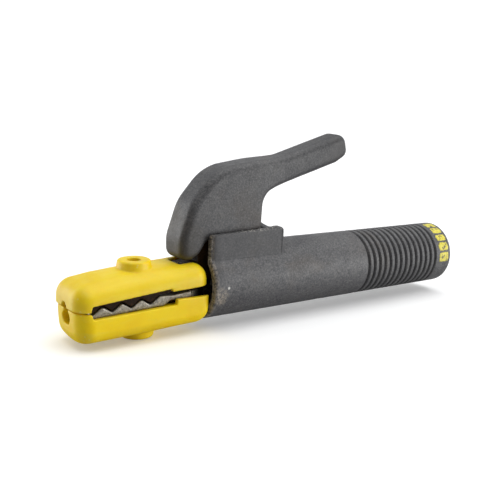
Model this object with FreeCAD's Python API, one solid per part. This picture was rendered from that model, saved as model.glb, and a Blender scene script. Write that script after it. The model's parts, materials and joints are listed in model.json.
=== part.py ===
import FreeCAD, Part
import math
import os

from FreeCAD import Vector

# A spring-jawed welding electrode holder, in millimetres.
# Origin: centre of the handle's rear face. +X leaves through the cable entry, the jaws lie
# towards -X, and +Z points up to the squeeze lever.

# ---- driving dimensions -------------------------------------------------------------------

SLEEVE_LENGTH = 175.5
SLEEVE_REAR_R = 18.2
SLEEVE_FRONT_R = 18.8
SLEEVE_BORE_R = 15.0
SLEEVE_RIM_ROUND = 1.2
CABLE_ENTRY_R = 11.0
CABLE_ENTRY_LENGTH = 8.0

RIB_COUNT = 14
RIB_PITCH = 4.3
RIB_FIRST_X = -70.2
RIB_GROOVE_DEPTH = 0.9
RIB_GROOVE_R = 1.5

BOX_FRONT_X = -SLEEVE_LENGTH
BOX_REAR_X = -128.6
BOX_REAR_LEAN = 2.0
BOX_REAR_LEAN_Z = 11.0
BOX_HALF_WIDTH = 13.2
BOX_FRONT_TOP_Z = 26.4
BOX_TOP_Z = 28.0
BOX_TOP_ROUND = 2.0
BOX_FRONT_ROUND = 3.0
BOX_REAR_ROUND = 2.5
BOX_SIDE_ROUND = 1.3
BOX_DIP_R = 18.7
BOX_DIP_FLOOR_Z = 25.9
BOX_DIP_LENGTH = 12.0
CHANNEL_HALF_WIDTH = 9.8
CHANNEL_REAR_X = -134.6
CHANNEL_FLOOR_Z = 8.0

SLEEVE_SCREW_X = -98.0
SLEEVE_SCREW_R = 2.5
SLEEVE_SCREW_HEAD_R = 4.4
SLEEVE_SCREW_HEAD_Z = -18.0
SLEEVE_SCREW_SEAT_Z = -16.1
SLEEVE_SCREW_TIP_Z = -6.0
SLOT_HALF_WIDTH = 0.6
SLOT_DEPTH = 1.0

LINER_FRONT_X = -108.0
LINER_REAR_X = -28.0
LINER_CLEARANCE = 0.1

HEAD_UPPER_FRONT_X = -247.0
HEAD_LOWER_FRONT_X = -246.0
HEAD_UPPER_REAR_X = -177.2
HEAD_LOWER_REAR_X = -176.4
HEAD_REAR_TRIM = 2.0
HEAD_HALF_WIDTH = 15.3
HEAD_REAR_HALF_WIDTH = 15.2
HEAD_FRONT_R = 8.2
UPPER_EDGE_R = 8.0
LOWER_EDGE_R = 6.0
HEAD_REAR_R = 8.4
HEAD_RIM_Z = 7.2
UPPER_TOP_FRONT_Z = 7.6
UPPER_TOP_REAR_Z = 13.3
UPPER_PARTING_Z = -3.5
UPPER_REAR_PARTING_Z = 2.2
LOWER_PARTING_Z = -4.3
LOWER_REAR_PARTING_Z = -3.2
LOWER_BOTTOM_FRONT_Z = -19.4
LOWER_BOTTOM_REAR_Z = -17.1
WINDOW_FRONT_X = -239.5
WINDOW_REAR_X = -197.8
SILL_REAR_X = -195.0
WINDOW_ROUND = 0.3
WINDOW_TOP_FRONT_Z = -0.6
WINDOW_TOP_REAR_Z = 2.9
WINDOW_SILL_FRONT_Z = -6.9
WINDOW_SILL_REAR_Z = -5.5
UPPER_NOTCH_R = 2.6
UPPER_NOTCH_Z = -3.4
LOWER_NOTCH_R = 2.6
LOWER_NOTCH_Z = -8.2
LOWER_NOTCH_SPREAD = 1.4
LOWER_NOTCH_NECK = 2.2
JAW_POCKET_HALF_WIDTH = 12.4
RIB_POCKET_HALF_WIDTH = 8.0
POCKET_CLEARANCE = 0.3
ARM_WAY_FRONT_X = -189.0
ARM_WAY_HALF_WIDTH = 6.0

UPPER_BOSS_X = -211.2
UPPER_BOSS_R = 8.0
UPPER_BOSS_TOP_Z = 15.6
UPPER_BOSS_ROOT_Z = 4.0
LOWER_BOSS_X = -209.2
LOWER_BOSS_R = 8.3
LOWER_BOSS_BOTTOM_Z = -22.9
LOWER_BOSS_ROOT_Z = -12.0
BOSS_HOLE_R = 3.3
BOSS_HOLE_DEPTH = 6.0
BOSS_FLARE = 1.2
BOSS_ROUND = 1.2

JAW_SCREW_R = 1.75
JAW_SCREW_HEAD_R = 3.0
JAW_SCREW_HEAD_HEIGHT = 2.4
JAW_SCREW_WAY = 0.3
LOCK_WASHER_R = 3.1
LOCK_WASHER_THICKNESS = 0.7
LOCK_WASHER_GAP = 0.8
UPPER_SCREW_TIP_Z = 0.6
LOWER_SCREW_TIP_Z = -7.6

TOOTH_COUNT = 4
TOOTH_PITCH = 10.0
TOOTH_HEIGHT = 3.2
TOOTH_LAST_X = -203.2
TOOTH_LAST_Z = -0.8
TOOTH_SLOPE = 0.045
TOOTH_CREST_R = 1.8
TOOTH_VALLEY_R = 0.5
TOOTH_GAP = 0.7

JAW_TIP_X = -241.0
JAW_HALF_WIDTH = 12.1
JAW_UNDERSIDE_FRONT_Z = -7.5
JAW_UNDERSIDE_REAR_Z = -5.8
JAW_UNDERSIDE_REAR_X = -200.5
JAW_HEEL_X = -197.5
JAW_HEEL_Z = -3.8
JAW_RIB_HALF_WIDTH = 6.5
JAW_RIB_BOTTOM_Z = -12.0
NECK_FRONT_X = -195.5
NECK_STEP_X = -185.5
NECK_TOP_FRONT_Z = -1.2
NECK_TOP_REAR_Z = -0.3
NECK_STEP_Z = -3.6
NECK_UNDERSIDE_Z = -9.0
NECK_HALF_WIDTH = 7.5
BODY_FRONT_X = -175.0
BODY_REAR_X = -134.0
BODY_FLOOR_Z = -2.0
BODY_CLEARANCE = 0.4
ELECTRODE_R = 2.0
ELECTRODE_Z = -4.9
ELECTRODE_SEAT_LENGTH = 22.0

PIVOT_X = -165.0
PIVOT_Z = 6.5
PIN_R = 3.0
PIN_HALF_LENGTH = 10.4
PIN_GROOVE_DEPTH = 0.5
BUSH_R = 4.2
HUB_R = 6.2
HUB_HALF_WIDTH = 5.6
WASHER_THICKNESS = 0.6
WASHER_R = 5.6
EAR_INNER_Y = 6.4
EAR_OUTER_Y = 9.0
EAR_R = 6.0
RING_THICKNESS = 0.8
RING_R = 4.3
RING_MOUTH_HALF_WIDTH = 1.4
SIDE_CLEARANCE = 0.1
RUNNING_CLEARANCE = 0.05
SEAT_CLEARANCE = 0.02

SPRING_X = -147.0
SPRING_BOTTOM_Z = -6.0
SPRING_TOP_Z = 10.0
SPRING_MEAN_R = 4.2
SPRING_WIRE_R = 0.8
SPRING_TURNS = 5.5
SPRING_POCKET_R = 6.0
SEAT_THICKNESS_LOWER = 1.2
SEAT_THICKNESS_UPPER = 1.4
SEAT_STUD_R = 1.6
SEAT_STUD_LENGTH = 1.8
SEAT_FLANGE_R = 4.8
SEAT_STUB_R = 2.6
SEAT_STUB_LENGTH = 2.4

SHANK_R = 11.5
SHANK_NECK_R = 9.0
SHANK_FRONT_X = -110.0
SHANK_REAR_X = -30.0
SOCKET_R = 7.2
SOCKET_LENGTH = 55.0
CONTACT_SLEEVE_WALL = 0.8
CONTACT_SLEEVE_LENGTH = 34.0
CONTACT_SLEEVE_SPLIT = 0.5
CLAMP_SCREW_X = (-42.0, -56.0)
CLAMP_SCREW_R = 3.0
CLAMP_SCREW_RECESS = 0.6
CLAMP_SCREW_SOCKET_R = 1.6
CLAMP_SCREW_SOCKET_DEPTH = 2.0

UPPER_JAW_HALF_WIDTH = 11.6
UPPER_JAW_FRONT_TOP_Z = 2.4
UPPER_JAW_TOP_Z = 4.4
UPPER_JAW_REAR_X = -188.0
UPPER_JAW_HEEL_Z = 1.4
ARM_FRONT_X = -196.0
ARM_TOP_Z = 12.0
ARM_STEP_Z = 8.0
ARM_STEP_X = -188.4
TONGUE_HALF_WIDTH = 5.2
TONGUE_FRONT_X = -178.0
TONGUE_REAR_X = -152.0
TONGUE_TOP_Z = 47.0
TONGUE_SLOPE = 6.0
TONGUE_ROUND = 3.0
TONGUE_REAR_ROUND = 2.0
SPRING_ARM_REAR_X = -140.5
SPRING_ARM_TOP_Z = 14.5

LEVER_HALF_WIDTH = 9.2
TAIL_HALF_WIDTH = 7.4
LEVER_EDGE_R = 4.2
COVER_BOTTOM_Z = 22.5
COVER_POCKET_CLEARANCE = 0.1
COVER_SCREW_Z = 36.0
COVER_SCREW_R = 2.0
COVER_SCREW_HEAD_R = 3.5
COVER_SCREW_HEAD_HEIGHT = 2.0
COVER_SCREW_SEAT_X = -144.0
COVER_SCREW_TIP_X = -160.0

SHARP_EDGE_ANGLE = math.radians(20)
FAR = 100.0


# ---- building blocks ----------------------------------------------------------------------

def cylinder_x(radius, x_low, x_high, y=0, z=0):
    return Part.makeCylinder(radius, x_high - x_low, Vector(x_low, y, z), Vector(1, 0, 0))


def cylinder_y(radius, y_low, y_high, x, z):
    return Part.makeCylinder(radius, y_high - y_low, Vector(x, y_low, z), Vector(0, 1, 0))


def cylinder_z(radius, z_low, z_high, x, y=0):
    return Part.makeCylinder(radius, z_high - z_low, Vector(x, y, z_low), Vector(0, 0, 1))


def block(x_low, x_high, y_low, y_high, z_low, z_high):
    size = (x_high - x_low, y_high - y_low, z_high - z_low)
    return Part.makeBox(*size, Vector(x_low, y_low, z_low))


def rounded_wire(corners, place):
    """Closed outline through (a, b, radius) corners, each rounded by a tangent arc."""
    points = [place(a, b) for a, b, _ in corners]
    starts, middles, ends = [], [], []
    for index, (_, _, radius) in enumerate(corners):
        point = points[index]
        back = (points[index - 1] - point).normalize()
        ahead = (points[(index + 1) % len(points)] - point).normalize()
        half_angle = back.getAngle(ahead) / 2
        if radius == 0:
            starts.append(point)
            middles.append(None)
            ends.append(point)
            continue
        reach = radius / math.tan(half_angle)
        inward = (back + ahead).normalize()
        middles.append(point + inward * (radius / math.sin(half_angle) - radius))
        starts.append(point + back * reach)
        ends.append(point + ahead * reach)
    edges = []
    for index, middle in enumerate(middles):
        if middle is not None:
            edges.append(Part.Arc(starts[index], middle, ends[index]).toShape())
        following = starts[(index + 1) % len(starts)]
        if (following - ends[index]).Length > 1e-6:
            edges.append(Part.LineSegment(ends[index], following).toShape())
    return Part.Wire(edges)


def side_prism(corners, half_width):
    """Outline in X and Z, as thick as the width across Y."""
    wire = rounded_wire(corners, lambda x, z: Vector(x, -half_width, z))
    return Part.Face(wire).extrude(Vector(0, 2 * half_width, 0))


def plan_prism(corners, z_low, z_high):
    """Outline in X and Y, between two heights."""
    wire = rounded_wire(corners, lambda x, y: Vector(x, y, z_low))
    return Part.Face(wire).extrude(Vector(0, 0, z_high - z_low))


def section_prism(corners, x_low, x_high):
    """Outline in Y and Z, along the handle's length."""
    wire = rounded_wire(corners, lambda y, z: Vector(x_low, y, z))
    return Part.Face(wire).extrude(Vector(x_high - x_low, 0, 0))


def turned_x(corners):
    """Outline in X and radius, turned about the handle's axis."""
    wire = rounded_wire(corners, lambda x, radius: Vector(x, 0, radius))
    return Part.Face(wire).revolve(Vector(0, 0, 0), Vector(1, 0, 0), 360)


def ring_y(outer, inner, y_low, y_high):
    """Flat ring around the pivot."""
    disc = cylinder_y(outer, y_low, y_high, PIVOT_X, PIVOT_Z)
    return disc.cut(cylinder_y(inner, y_low - 1, y_high + 1, PIVOT_X, PIVOT_Z))


def mirrored(shape):
    return shape.mirror(Vector(0, 0, 0), Vector(0, 1, 0))


def save(name, *solids):
    shape = solids[0] if len(solids) == 1 else Part.makeCompound(list(solids))
    shape.exportStep(f"parts/{name}.step")
    print(f"{name}: {len(shape.Solids)} solid(s), {shape.Volume / 1000:.2f} cm3, valid {shape.isValid()}")


# ---- handle -------------------------------------------------------------------------------

def handle_sleeve():
    outer = turned_x([
        (0, 0, 0),
        (0, SLEEVE_REAR_R, SLEEVE_RIM_ROUND),
        (-SLEEVE_LENGTH, SLEEVE_FRONT_R, SLEEVE_RIM_ROUND),
        (-SLEEVE_LENGTH, 0, 0),
    ])
    for index in range(RIB_COUNT):
        x = RIB_FIRST_X + index * RIB_PITCH
        surface_r = SLEEVE_REAR_R + (SLEEVE_FRONT_R - SLEEVE_REAR_R) * -x / SLEEVE_LENGTH
        ring_r = surface_r + RIB_GROOVE_R - RIB_GROOVE_DEPTH
        outer = outer.cut(Part.makeTorus(ring_r, RIB_GROOVE_R, Vector(x, 0, 0), Vector(1, 0, 0)))
    sleeve = outer.fuse(lever_box()).removeSplitter()
    bore = cylinder_x(SLEEVE_BORE_R, -SLEEVE_LENGTH - 1, -CABLE_ENTRY_LENGTH)
    entry = cylinder_x(CABLE_ENTRY_R, -SLEEVE_LENGTH - 1, 1)
    channel = block(BOX_FRONT_X - 1, CHANNEL_REAR_X, -CHANNEL_HALF_WIDTH, CHANNEL_HALF_WIDTH,
                    CHANNEL_FLOOR_Z, BOX_TOP_Z + 1)
    sleeve = sleeve.cut(bore.fuse(entry)).cut(channel)
    return sleeve.cut(screw_way())


def lever_box():
    """Raised cheeks on top of the sleeve, either side of the lever."""
    side = side_prism([
        (BOX_FRONT_X, 0, 0),
        (BOX_FRONT_X, BOX_FRONT_TOP_Z, BOX_TOP_ROUND),
        (BOX_REAR_X - BOX_REAR_LEAN, BOX_TOP_Z, BOX_TOP_ROUND),
        (BOX_REAR_X, BOX_REAR_LEAN_Z, 0),
        (BOX_REAR_X, 0, 0),
    ], BOX_HALF_WIDTH)
    plan = plan_prism([
        (BOX_FRONT_X, -BOX_HALF_WIDTH, BOX_FRONT_ROUND),
        (BOX_FRONT_X, BOX_HALF_WIDTH, BOX_FRONT_ROUND),
        (BOX_REAR_X, BOX_HALF_WIDTH, BOX_REAR_ROUND),
        (BOX_REAR_X, -BOX_HALF_WIDTH, BOX_REAR_ROUND),
    ], 0, BOX_TOP_Z)
    section = section_prism([
        (-BOX_HALF_WIDTH, 0, 0),
        (-BOX_HALF_WIDTH, BOX_TOP_Z, BOX_SIDE_ROUND),
        (BOX_HALF_WIDTH, BOX_TOP_Z, BOX_SIDE_ROUND),
        (BOX_HALF_WIDTH, 0, 0),
    ], BOX_FRONT_X, BOX_REAR_X)
    box = side.common(plan).common(section)
    dip = cylinder_x(BOX_DIP_R, BOX_REAR_X - BOX_DIP_LENGTH, BOX_REAR_X + 1, 0,
                     BOX_DIP_FLOOR_Z + BOX_DIP_R)
    return box.cut(dip)


def screw_way():
    """Counterbored way for the screw that holds the sleeve to the shank, from underneath."""
    way = cylinder_z(SLEEVE_SCREW_R + SEAT_CLEARANCE, SLEEVE_SCREW_SEAT_Z - 1, SLEEVE_SCREW_TIP_Z,
                     SLEEVE_SCREW_X)
    head = cylinder_z(SLEEVE_SCREW_HEAD_R + 0.2, -FAR, SLEEVE_SCREW_SEAT_Z, SLEEVE_SCREW_X)
    return way.fuse(head)


def sleeve_screw():
    """Slotted cheese-head screw, head down."""
    head = cylinder_z(SLEEVE_SCREW_HEAD_R, SLEEVE_SCREW_HEAD_Z, SLEEVE_SCREW_SEAT_Z, SLEEVE_SCREW_X)
    shank = cylinder_z(SLEEVE_SCREW_R, SLEEVE_SCREW_SEAT_Z - 0.5, SLEEVE_SCREW_TIP_Z - 0.2,
                       SLEEVE_SCREW_X)
    slot = screw_slot(SLEEVE_SCREW_X, SLEEVE_SCREW_HEAD_Z, SLEEVE_SCREW_HEAD_Z + SLOT_DEPTH)
    return head.fuse(shank).cut(slot).removeSplitter()


def screw_slot(x, z_low, z_high):
    """Driver slot along X in an upright screw's head."""
    return block(x - SLEEVE_SCREW_HEAD_R, x + SLEEVE_SCREW_HEAD_R, -SLOT_HALF_WIDTH, SLOT_HALF_WIDTH,
                 z_low, z_high)


def insulating_liner():
    """Fibre tube that keeps the live shank away from the sleeve."""
    tube = cylinder_x(SLEEVE_BORE_R - LINER_CLEARANCE, LINER_FRONT_X, LINER_REAR_X)
    tube = tube.cut(cylinder_x(SHANK_R + LINER_CLEARANCE, LINER_FRONT_X - 1, LINER_REAR_X + 1))
    return tube.cut(screw_way())


# ---- fixed jaw, pivot and cable clamp ------------------------------------------------------

def tooth_line(shift):
    """Crests and valleys of the jaw teeth from front to back, raised by shift."""
    points = []
    for index in range(TOOTH_COUNT, -1, -1):
        crest_x = TOOTH_LAST_X - index * TOOTH_PITCH
        crest_z = TOOTH_LAST_Z + TOOTH_SLOPE * (crest_x - TOOTH_LAST_X) + shift
        if index < TOOTH_COUNT:
            points.append((crest_x, crest_z, TOOTH_CREST_R))
        if index > 0:
            points.append((crest_x + TOOTH_PITCH / 2, crest_z - TOOTH_HEIGHT, TOOTH_VALLEY_R))
    return points


def lower_jaw_body():
    """Lower jaw, neck, pivot ears and cable shank: one casting."""
    jaw = side_prism([
        (JAW_TIP_X, JAW_UNDERSIDE_FRONT_Z, 0.8),
        (JAW_TIP_X, TOOTH_LAST_Z + TOOTH_SLOPE * (JAW_TIP_X - TOOTH_LAST_X), 0.6),
        *tooth_line(0),
        (NECK_FRONT_X, NECK_TOP_FRONT_Z, 2),
        (NECK_STEP_X, NECK_TOP_REAR_Z, 0),
        (NECK_STEP_X, NECK_STEP_Z, 0),
        (JAW_HEEL_X, JAW_HEEL_Z, 1),
        (JAW_UNDERSIDE_REAR_X, JAW_UNDERSIDE_REAR_Z, 1),
    ], JAW_HALF_WIDTH)
    rib = side_prism([
        (JAW_TIP_X + 2, JAW_UNDERSIDE_FRONT_Z + 2, 0),
        (NECK_STEP_X, -3, 0),
        (BODY_FRONT_X + 5, -3, 0),
        (BODY_FRONT_X + 5, NECK_UNDERSIDE_Z, 0),
        (UPPER_JAW_REAR_X, JAW_RIB_BOTTOM_Z, 4),
        (JAW_TIP_X + 8, JAW_RIB_BOTTOM_Z, 4),
        (JAW_TIP_X + 2, JAW_UNDERSIDE_FRONT_Z - 1, 1),
    ], JAW_RIB_HALF_WIDTH)
    neck = side_prism([
        (NECK_STEP_X - 4, NECK_UNDERSIDE_Z, 0),
        (NECK_STEP_X - 4, NECK_TOP_FRONT_Z, 0),
        (NECK_STEP_X, NECK_TOP_REAR_Z, 0),
        (BODY_FRONT_X + 4, NECK_TOP_REAR_Z, 0),
        (BODY_FRONT_X + 4, NECK_UNDERSIDE_Z, 0),
    ], NECK_HALF_WIDTH)
    body = cylinder_x(SLEEVE_BORE_R - BODY_CLEARANCE, BODY_FRONT_X, BODY_REAR_X)
    body = body.common(block(BODY_FRONT_X, BODY_REAR_X, -FAR, FAR, -FAR, BODY_FLOOR_Z))
    shank_neck = cylinder_x(SHANK_NECK_R, BODY_REAR_X - 6, SHANK_FRONT_X + 1)
    shank_neck = shank_neck.cut(block(BODY_REAR_X - 7, BODY_REAR_X, -FAR, FAR, BODY_FLOOR_Z, FAR))
    shank = cylinder_x(SHANK_R, SHANK_FRONT_X, SHANK_REAR_X)
    casting = body.multiFuse([jaw, rib, neck, pivot_ear(), mirrored(pivot_ear()), shank_neck, shank])
    casting = casting.removeSplitter()
    casting = casting.cut(cylinder_x(SOCKET_R, SHANK_REAR_X - SOCKET_LENGTH, SHANK_REAR_X + 1))
    casting = casting.cut(cylinder_z(SPRING_POCKET_R, SPRING_BOTTOM_Z - SEAT_THICKNESS_LOWER, 0,
                                     SPRING_X))
    seat_rear_x = JAW_TIP_X + ELECTRODE_SEAT_LENGTH
    casting = casting.cut(cylinder_x(ELECTRODE_R, JAW_TIP_X - 1, seat_rear_x, 0, ELECTRODE_Z))
    casting = casting.cut(block(JAW_TIP_X - 1, seat_rear_x, -ELECTRODE_R, ELECTRODE_R, ELECTRODE_Z, 2))
    casting = casting.cut(cylinder_z(JAW_SCREW_R + SEAT_CLEARANCE, -FAR, LOWER_SCREW_TIP_Z + 0.5,
                                     LOWER_BOSS_X))
    casting = casting.cut(screw_way())
    for x in CLAMP_SCREW_X:
        casting = casting.cut(cylinder_z(CLAMP_SCREW_R + SEAT_CLEARANCE, 0, SHANK_R + 1, x))
    return casting


def pivot_ear():
    ear = side_prism([
        (PIVOT_X - EAR_R, BODY_FLOOR_Z - 2, 0),
        (PIVOT_X - EAR_R, PIVOT_Z + EAR_R, EAR_R - 0.01),
        (PIVOT_X + EAR_R, PIVOT_Z + EAR_R, EAR_R - 0.01),
        (PIVOT_X + EAR_R, BODY_FLOOR_Z - 2, 0),
    ], EAR_OUTER_Y)
    ear = ear.common(block(PIVOT_X - FAR, PIVOT_X + FAR, EAR_INNER_Y, EAR_OUTER_Y, -FAR, FAR))
    return ear.cut(cylinder_y(PIN_R + SEAT_CLEARANCE, 0, FAR, PIVOT_X, PIVOT_Z))


def pivot_pin():
    """Grooved pin: a retaining ring snaps on near each end."""
    pin = cylinder_y(PIN_R, -PIN_HALF_LENGTH, PIN_HALF_LENGTH, PIVOT_X, PIVOT_Z)
    start = EAR_OUTER_Y + SIDE_CLEARANCE
    groove = ring_y(PIN_R + 1, PIN_R - PIN_GROOVE_DEPTH, start, start + RING_THICKNESS)
    return pin.cut(groove).cut(mirrored(groove))


def retaining_ring():
    start = EAR_OUTER_Y + SIDE_CLEARANCE + SEAT_CLEARANCE
    ring = ring_y(RING_R, PIN_R - PIN_GROOVE_DEPTH + SEAT_CLEARANCE,
                  start, start + RING_THICKNESS - 2 * SEAT_CLEARANCE)
    mouth = block(PIVOT_X - RING_MOUTH_HALF_WIDTH, PIVOT_X + RING_MOUTH_HALF_WIDTH, 0, FAR,
                  PIVOT_Z - FAR, PIVOT_Z)
    return ring.cut(mouth)


def thrust_washer():
    start = HUB_HALF_WIDTH + SIDE_CLEARANCE
    return ring_y(WASHER_R, PIN_R + 0.2, start, start + WASHER_THICKNESS)


def pivot_bush():
    return ring_y(BUSH_R, PIN_R + RUNNING_CLEARANCE, -HUB_HALF_WIDTH, HUB_HALF_WIDTH)


def clamp_screw(x):
    """Socket set screw; its tip stops on the contact sleeve."""
    top_z = SHANK_R - CLAMP_SCREW_RECESS
    screw = cylinder_z(CLAMP_SCREW_R, SOCKET_R + RUNNING_CLEARANCE, top_z, x)
    corners = []
    for step in range(6):
        angle = step * math.pi / 3
        corners.append(Vector(x + CLAMP_SCREW_SOCKET_R * math.cos(angle),
                              CLAMP_SCREW_SOCKET_R * math.sin(angle),
                              top_z - CLAMP_SCREW_SOCKET_DEPTH))
    hexagon = Part.Face(Part.makePolygon(corners + corners[:1])).extrude(Vector(0, 0, SHANK_R))
    return screw.cut(hexagon)


def cable_contact_sleeve():
    """Split copper sleeve that the cable strands are clamped in."""
    outer_r = SOCKET_R - RUNNING_CLEARANCE
    front_x = SHANK_REAR_X - CONTACT_SLEEVE_LENGTH
    tube = cylinder_x(outer_r, front_x, SHANK_REAR_X)
    tube = tube.cut(cylinder_x(outer_r - CONTACT_SLEEVE_WALL, front_x - 1, SHANK_REAR_X + 1))
    split = block(front_x - 1, SHANK_REAR_X + 1, -CONTACT_SLEEVE_SPLIT, CONTACT_SLEEVE_SPLIT, -FAR, 0)
    return tube.cut(split)


# ---- moving jaw and lever ------------------------------------------------------------------

def upper_jaw_lever():
    """Upper jaw, arm, pivot hub, spring arm and the tongue inside the lever cover."""
    jaw = side_prism([
        (JAW_TIP_X, UPPER_JAW_FRONT_TOP_Z, 1.5),
        (JAW_TIP_X, TOOTH_LAST_Z + TOOTH_SLOPE * (JAW_TIP_X - TOOTH_LAST_X) + TOOTH_GAP, 0.6),
        *tooth_line(TOOTH_GAP),
        (NECK_FRONT_X, NECK_TOP_FRONT_Z + TOOTH_GAP + 0.6, 2),
        (UPPER_JAW_REAR_X, UPPER_JAW_HEEL_Z, 0),
        (UPPER_JAW_REAR_X, UPPER_JAW_TOP_Z, 0),
        (ARM_FRONT_X, UPPER_JAW_TOP_Z, 0),
    ], UPPER_JAW_HALF_WIDTH)
    arm = side_prism([
        (ARM_FRONT_X, 1.2, 0),
        (ARM_FRONT_X + 12, 2.0, 4),
        (PIVOT_X, PIVOT_Z - HUB_R + 1.5, 0),
        (PIVOT_X, ARM_TOP_Z, 0),
        (ARM_STEP_X, ARM_TOP_Z - 0.5, 1),
        (ARM_STEP_X, ARM_STEP_Z, 0),
        (ARM_FRONT_X, UPPER_JAW_TOP_Z, 0),
    ], TONGUE_HALF_WIDTH)
    hub = cylinder_y(HUB_R, -HUB_HALF_WIDTH, HUB_HALF_WIDTH, PIVOT_X, PIVOT_Z)
    tongue = side_prism([
        (TONGUE_FRONT_X, ARM_TOP_Z - 4, 0),
        (TONGUE_FRONT_X, TONGUE_TOP_Z - TONGUE_SLOPE, TONGUE_ROUND),
        (TONGUE_FRONT_X + TONGUE_SLOPE, TONGUE_TOP_Z, TONGUE_ROUND),
        (TONGUE_REAR_X, TONGUE_TOP_Z, TONGUE_REAR_ROUND),
        (TONGUE_REAR_X, ARM_TOP_Z - 4, 0),
    ], TONGUE_HALF_WIDTH)
    spring_arm = side_prism([
        (PIVOT_X, SPRING_TOP_Z + SEAT_THICKNESS_UPPER, 0),
        (SPRING_ARM_REAR_X, SPRING_TOP_Z + SEAT_THICKNESS_UPPER, 1),
        (SPRING_ARM_REAR_X, SPRING_ARM_TOP_Z, 1),
        (PIVOT_X, SPRING_ARM_TOP_Z + 3, 0),
    ], TONGUE_HALF_WIDTH)
    lever = hub.multiFuse([jaw, arm, tongue, spring_arm]).removeSplitter()
    lever = lever.cut(cylinder_y(BUSH_R + SEAT_CLEARANCE, -FAR, FAR, PIVOT_X, PIVOT_Z))
    groove = cylinder_x(ELECTRODE_R, JAW_TIP_X - 1, JAW_TIP_X + ELECTRODE_SEAT_LENGTH, 0, ELECTRODE_Z)
    lever = lever.cut(groove)
    lever = lever.cut(cylinder_z(JAW_SCREW_R + SEAT_CLEARANCE, UPPER_SCREW_TIP_Z - 0.5, FAR,
                                 UPPER_BOSS_X))
    stud_top_z = SPRING_TOP_Z + SEAT_THICKNESS_UPPER + SEAT_STUD_LENGTH
    lever = lever.cut(cylinder_z(SEAT_STUD_R + SEAT_CLEARANCE, 0, stud_top_z + 0.2, SPRING_X))
    return lever.cut(cover_screw_way())


def spring_seat_upper():
    """Button pressed into the spring arm; its stub centres the spring."""
    flange_top_z = SPRING_TOP_Z + SEAT_THICKNESS_UPPER
    flange = cylinder_z(SEAT_FLANGE_R, SPRING_TOP_Z, flange_top_z, SPRING_X)
    stud = cylinder_z(SEAT_STUD_R, SPRING_TOP_Z, flange_top_z + SEAT_STUD_LENGTH, SPRING_X)
    stub = cylinder_z(SEAT_STUB_R, SPRING_TOP_Z - SEAT_STUB_LENGTH, SPRING_TOP_Z, SPRING_X)
    return flange.multiFuse([stud, stub]).removeSplitter()


def spring_seat_lower():
    """Insulating cup at the bottom of the spring pocket."""
    floor = cylinder_z(SPRING_POCKET_R - RUNNING_CLEARANCE, SPRING_BOTTOM_Z - SEAT_THICKNESS_LOWER,
                       SPRING_BOTTOM_Z, SPRING_X)
    stub = cylinder_z(SEAT_STUB_R, SPRING_BOTTOM_Z, SPRING_BOTTOM_Z + SEAT_STUB_LENGTH, SPRING_X)
    return floor.fuse(stub).removeSplitter()


def jaw_spring():
    """Compression spring between the body and the spring arm."""
    bottom = SPRING_BOTTOM_Z + SPRING_WIRE_R + RUNNING_CLEARANCE
    height = SPRING_TOP_Z - SPRING_BOTTOM_Z - 2 * (SPRING_WIRE_R + RUNNING_CLEARANCE)
    helix = Part.makeHelix(height / SPRING_TURNS, height, SPRING_MEAN_R)
    start = Vector(SPRING_MEAN_R, 0, 0)
    circle = Part.Wire(Part.makeCircle(SPRING_WIRE_R, start, Vector(0, 1, 0)))
    coil = Part.Wire(helix).makePipeShell([circle], True, True)
    coil.translate(Vector(SPRING_X, 0, bottom))
    return coil.Solids[0]


# ---- insulators over the jaws --------------------------------------------------------------

def head_half(front_x, rear_x, outline, outward, edge_r):
    """One insulator's outer form, rounded all along its top (outward +1) or bottom (-1)."""
    long_rear_x = rear_x + HEAD_REAR_TRIM
    plan = plan_prism([
        (front_x, -HEAD_HALF_WIDTH, HEAD_FRONT_R),
        (front_x, HEAD_HALF_WIDTH, HEAD_FRONT_R),
        (long_rear_x, HEAD_REAR_HALF_WIDTH, 0),
        (long_rear_x, -HEAD_REAR_HALF_WIDTH, 0),
    ], -FAR, FAR)
    half = side_prism(outline, HEAD_HALF_WIDTH + 1).common(plan)
    rim = []
    for edge in half.Edges:
        middle = edge.valueAt((edge.FirstParameter + edge.LastParameter) / 2)
        faces = half.ancestorsOfType(edge, Part.Face)
        normals = [face.normalAt(*face.Surface.parameter(middle)) for face in faces]
        sharp = normals[0].getAngle(normals[1]) > SHARP_EDGE_ANGLE
        outer_edge = outward * middle.z > HEAD_RIM_Z or middle.x > long_rear_x - 0.1
        across = abs(edge.tangentAt(edge.FirstParameter).y) > 0.9 and middle.x > WINDOW_REAR_X
        if sharp and outer_edge and not across:
            rim.append(edge)
    half = half.makeFillet(edge_r, rim)
    return half.cut(block(rear_x, rear_x + 2 * HEAD_REAR_TRIM, -FAR, FAR, -FAR, FAR))


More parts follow.
